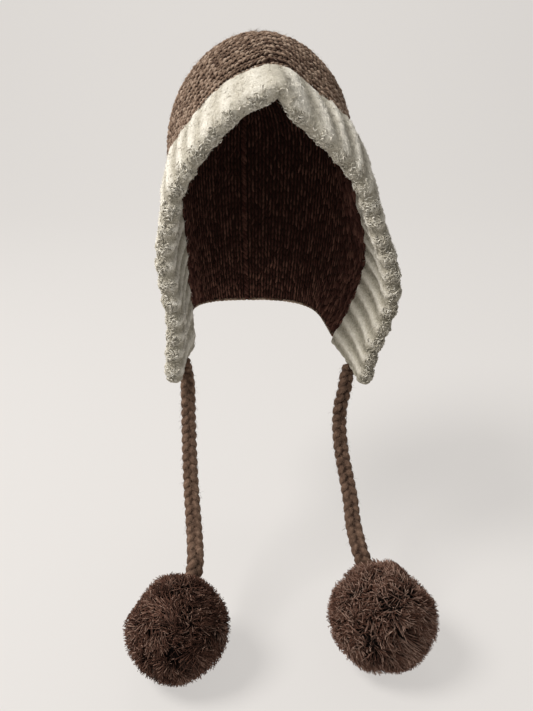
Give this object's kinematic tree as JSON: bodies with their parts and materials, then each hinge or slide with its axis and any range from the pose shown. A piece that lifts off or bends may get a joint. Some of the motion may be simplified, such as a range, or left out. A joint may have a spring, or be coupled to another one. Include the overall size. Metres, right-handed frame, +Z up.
{
  "type": "knit hood",
  "caption": "Knitted winter hood with a thick ribbed roll cuff round the face and plaited ties that end in yarn pompoms.",
  "frame": {"origin": "inside of the crown, where the hood sits on the top of the head", "axes": "+Z up, -Y out of the face opening, +X towards the wearer's left"},
  "size_m": [0.2762, 0.3891, 0.5302],
  "materials": {
    "brown_knit": "brushed brown wool yarn, knitted in fine ridged rows, fuzzy and matt",
    "cream_rib": "brushed cream wool, thick rib folded double, with curly tufts on the fold",
    "brown_plait": "brown wool strands, plaited in three, matt with a light fuzz",
    "brown_pile": "cut brown wool yarn, dense and shaggy"
  },
  "bodies": {
    "root": {"hood_panel_left": "brown_knit", "hood_panel_right": "brown_knit", "brim_cuff": "cream_rib", "tie_left": "brown_plait", "tie_right": "brown_plait", "pompom_left": "brown_pile", "pompom_right": "brown_pile"}
  },
  "joints": []
}
